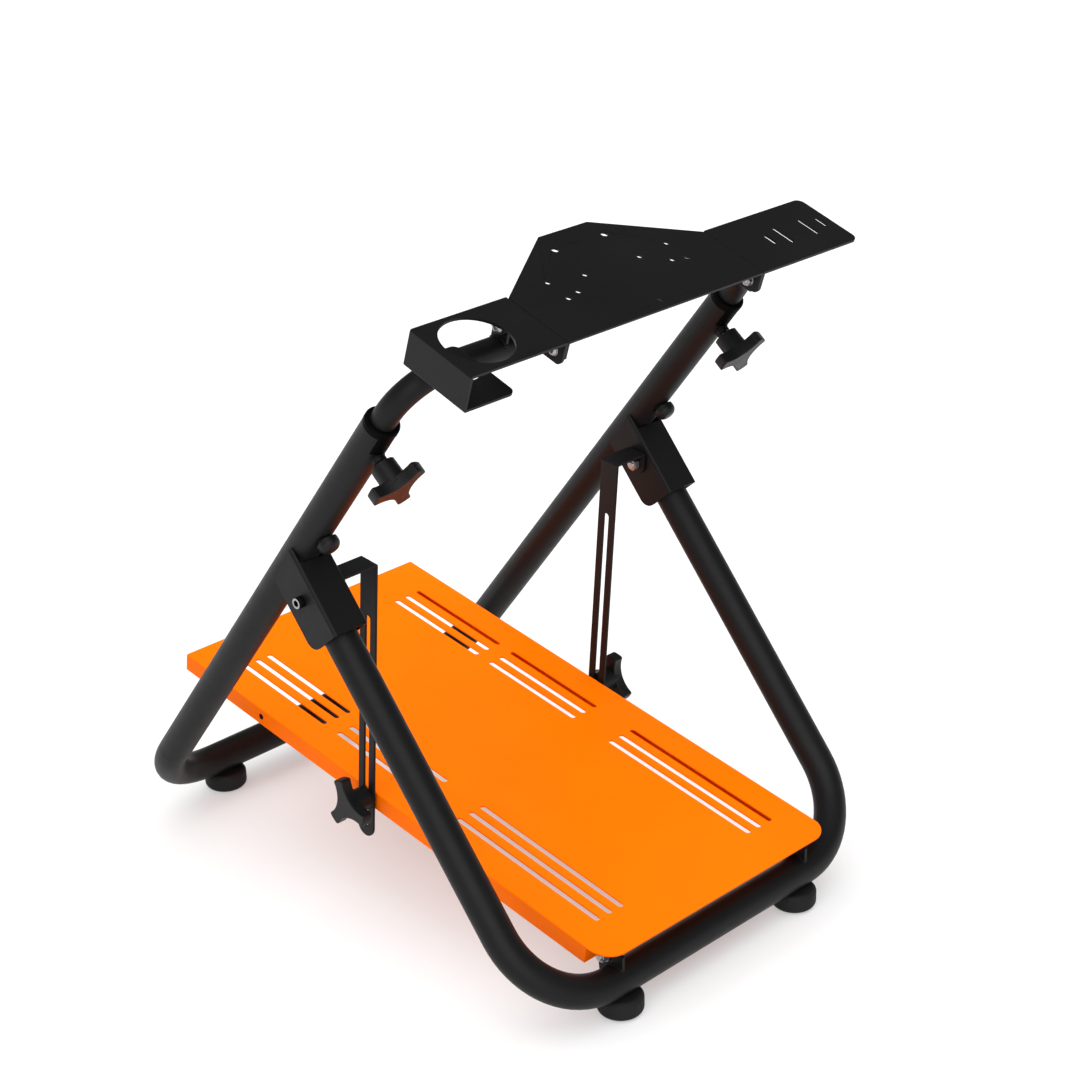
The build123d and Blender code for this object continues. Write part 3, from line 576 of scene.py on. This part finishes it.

# ------------------------------------------------------------------ plastic tube plugs, and dark plugs that paint the shade in the flange holes
for side, sx in SIDES:
    end = axes(front(sx * HALF, 516.8), FRONT_UP)
    piece("tube_plug_%s" % side, *lathe_data([
        (0, 0.7), (14.6, 0.7), (15.4, 1.5), (17.3, 1.5), (18.0, 1.2), (18.3, 0.6), (18.3, 0.0), (17.4, 0.0),
        (17.4, -12.0), (16.0, -12.0), (16.0, -1.0), (0, -1.0)], end, 64), "moulded_black", "front_leg")
    # a dark, dished plug in the hole of the flange, standing in for the shade inside the open hole: painted shade
    hole = axes(pedal(sx * 183.0, 145.0, -11.0), Vector((sx, 0, 0)))
    piece("flange_hole_shade_%s" % side, *lathe_data([
        (0, -0.6), (1.6, -0.5), (2.5, -0.1), (3.0, 0.25), (3.4, 0.3), (3.8, 0.0), (2.55, 0.0), (2.55, -3.0),
        (2.2, -3.4), (0, -3.4)], hole, 40), "moulded_black", "pedal_deck", mat=M["hole_shade_plug_black"])

# ------------------------------------------------------------------ weld beads
bar_c = rear(0, 848.6)
reach = Vector((0, TILT[0] * MM, TILT[1] * MM)) - bar_c
lean = atan2(-reach.y, reach.z)
for side, sx in SIDES:
    half = asin(11.0 / 14.0)
    loop = []
    for x, ks in ((136.8, range(0, 13)), (140.8, range(12, -1, -1))):
        for k in ks:
            a = -half + 2 * half * k / 12 - lean
            loop.append(Vector((sx * x * MM, bar_c.y + 0.0142 * sin(a), bar_c.z + 0.0142 * cos(a))))
    bead("tab_weld_%s" % side, loop, 1.2, "frame_black", "top_bar", True, seed=1.0 + sx)

    loop = []
    for x, ks in ((148.0, range(0, 17)), (152.0, range(16, -1, -1))):
        for k in ks:
            a = radians(14 + (122 - 14) * k / 16)
            loop.append(Vector((sx * x, FRONT_Y + 19.2 * cos(a), BAR_Z + 19.2 * sin(a))) * MM)
    bead("hinge_tab_weld_%s" % side, loop, 1.4, "frame_black", "front_leg", True, seed=4.0 + sx)

    for tag, dx in (("in", -1), ("out", 1)):
        x = sx * (HALF + dx * 20.2)
        bead("bracket_weld_%s_%s" % (side, tag), [rear(x, 505 + 52 * k / 20, 0.2) for k in range(21)], 1.5,
             "frame_black", "main_frame", seed=7.0 + sx + dx)

    for tag, s, rad in (("boss", 738.0, 8.1), ("sleeve", 588.5, 7.7)):
        loop = []
        for k in range(48):
            a = 2 * pi * k / 48
            px, ps = rad * cos(a), rad * sin(a)
            loop.append(rear(sx * HALF + px, s + ps, sqrt(19.0 ** 2 - px ** 2) + 0.1))
        bead("%s_weld_%s" % (tag, side), loop, 0.9, "frame_black", "main_frame", True, seed=11.0 + sx)

    for x in (143.3, 147.7):
        hv = (PLATE_FAR[0] - HINGE[0]) * cos(G) + (PLATE_FAR[1] - HINGE[1]) * sin(G)
        bead("lug_weld_%s_%d" % (side, x), [pedal(sx * x, hv - 17 + 34 * k / 12, -PLATE_T - 0.3) for k in range(13)], 1.1,
             "pedal_orange", "pedal_deck", seed=x)

# ------------------------------------------------------------------ stage
floor_me = bpy.data.meshes.new("floor")
floor_me.from_pydata([(-40, -40, -0.0003), (40, -40, -0.0003), (40, 40, -0.0003), (-40, 40, -0.0003)], [], [(0, 1, 2, 3)])
floor = bpy.data.objects.new("floor", floor_me)
scene.collection.objects.link(floor)
fm, fnt, fb = tree("floor_pale")
fb.inputs["Base Color"].default_value = (0.42, 0.42, 0.42, 1)
fb.inputs["Roughness"].default_value = 0.9
fb.inputs["Specular IOR Level"].default_value = 0.0
fb.inputs["Emission Color"].default_value = (1, 1, 1, 1)
fb.inputs["Emission Strength"].default_value = 0.40
floor_me.materials.append(fm)

# the room: pale at the horizon, dim overhead
world = bpy.data.worlds.new("studio")
scene.world = world
world.use_nodes = True
wt = world.node_tree
bg = wt.nodes["Background"]
coord = wt.nodes.new("ShaderNodeTexCoord")
split = wt.nodes.new("ShaderNodeSeparateXYZ")
wt.links.new(coord.outputs["Generated"], split.inputs["Vector"])
fade = wt.nodes.new("ShaderNodeValToRGB")
fade.color_ramp.interpolation = "EASE"
fade.color_ramp.elements[0].position = 0.02
fade.color_ramp.elements[0].color = (0.8, 0.8, 0.8, 1)
fade.color_ramp.elements[1].position = 0.30
fade.color_ramp.elements[1].color = (0.10, 0.10, 0.10, 1)
wt.links.new(split.outputs["Z"], fade.inputs["Fac"])
wt.links.new(fade.outputs["Color"], bg.inputs["Color"])
bg.inputs["Strength"].default_value = 1.0


def sun(name, towards, strength, angle, glints, lights):
    """Broad even light that falls along one direction, mirrored in gloss (glints) and lighting matt colour (lights) or not."""
    d = bpy.data.lights.new(name, "SUN")
    d.energy = strength
    d.angle = radians(angle)
    o = bpy.data.objects.new(name, d)
    o.rotation_euler = Vector(towards).to_track_quat("-Z", "Y").to_euler()
    o.visible_glossy = glints
    o.visible_diffuse = lights
    scene.collection.objects.link(o)
    return o


sun("overhead", (0.12, -0.05, -0.99), 5.5, 110, False, True)
sun("side", (0.86, 0.25, -0.45), 0.35, 40, False, True)
# soft box over the driver's left shoulder, which the front tubes mirror
sun("front", (0.55, 0.62, -0.56), 1.9, 66, True, False)
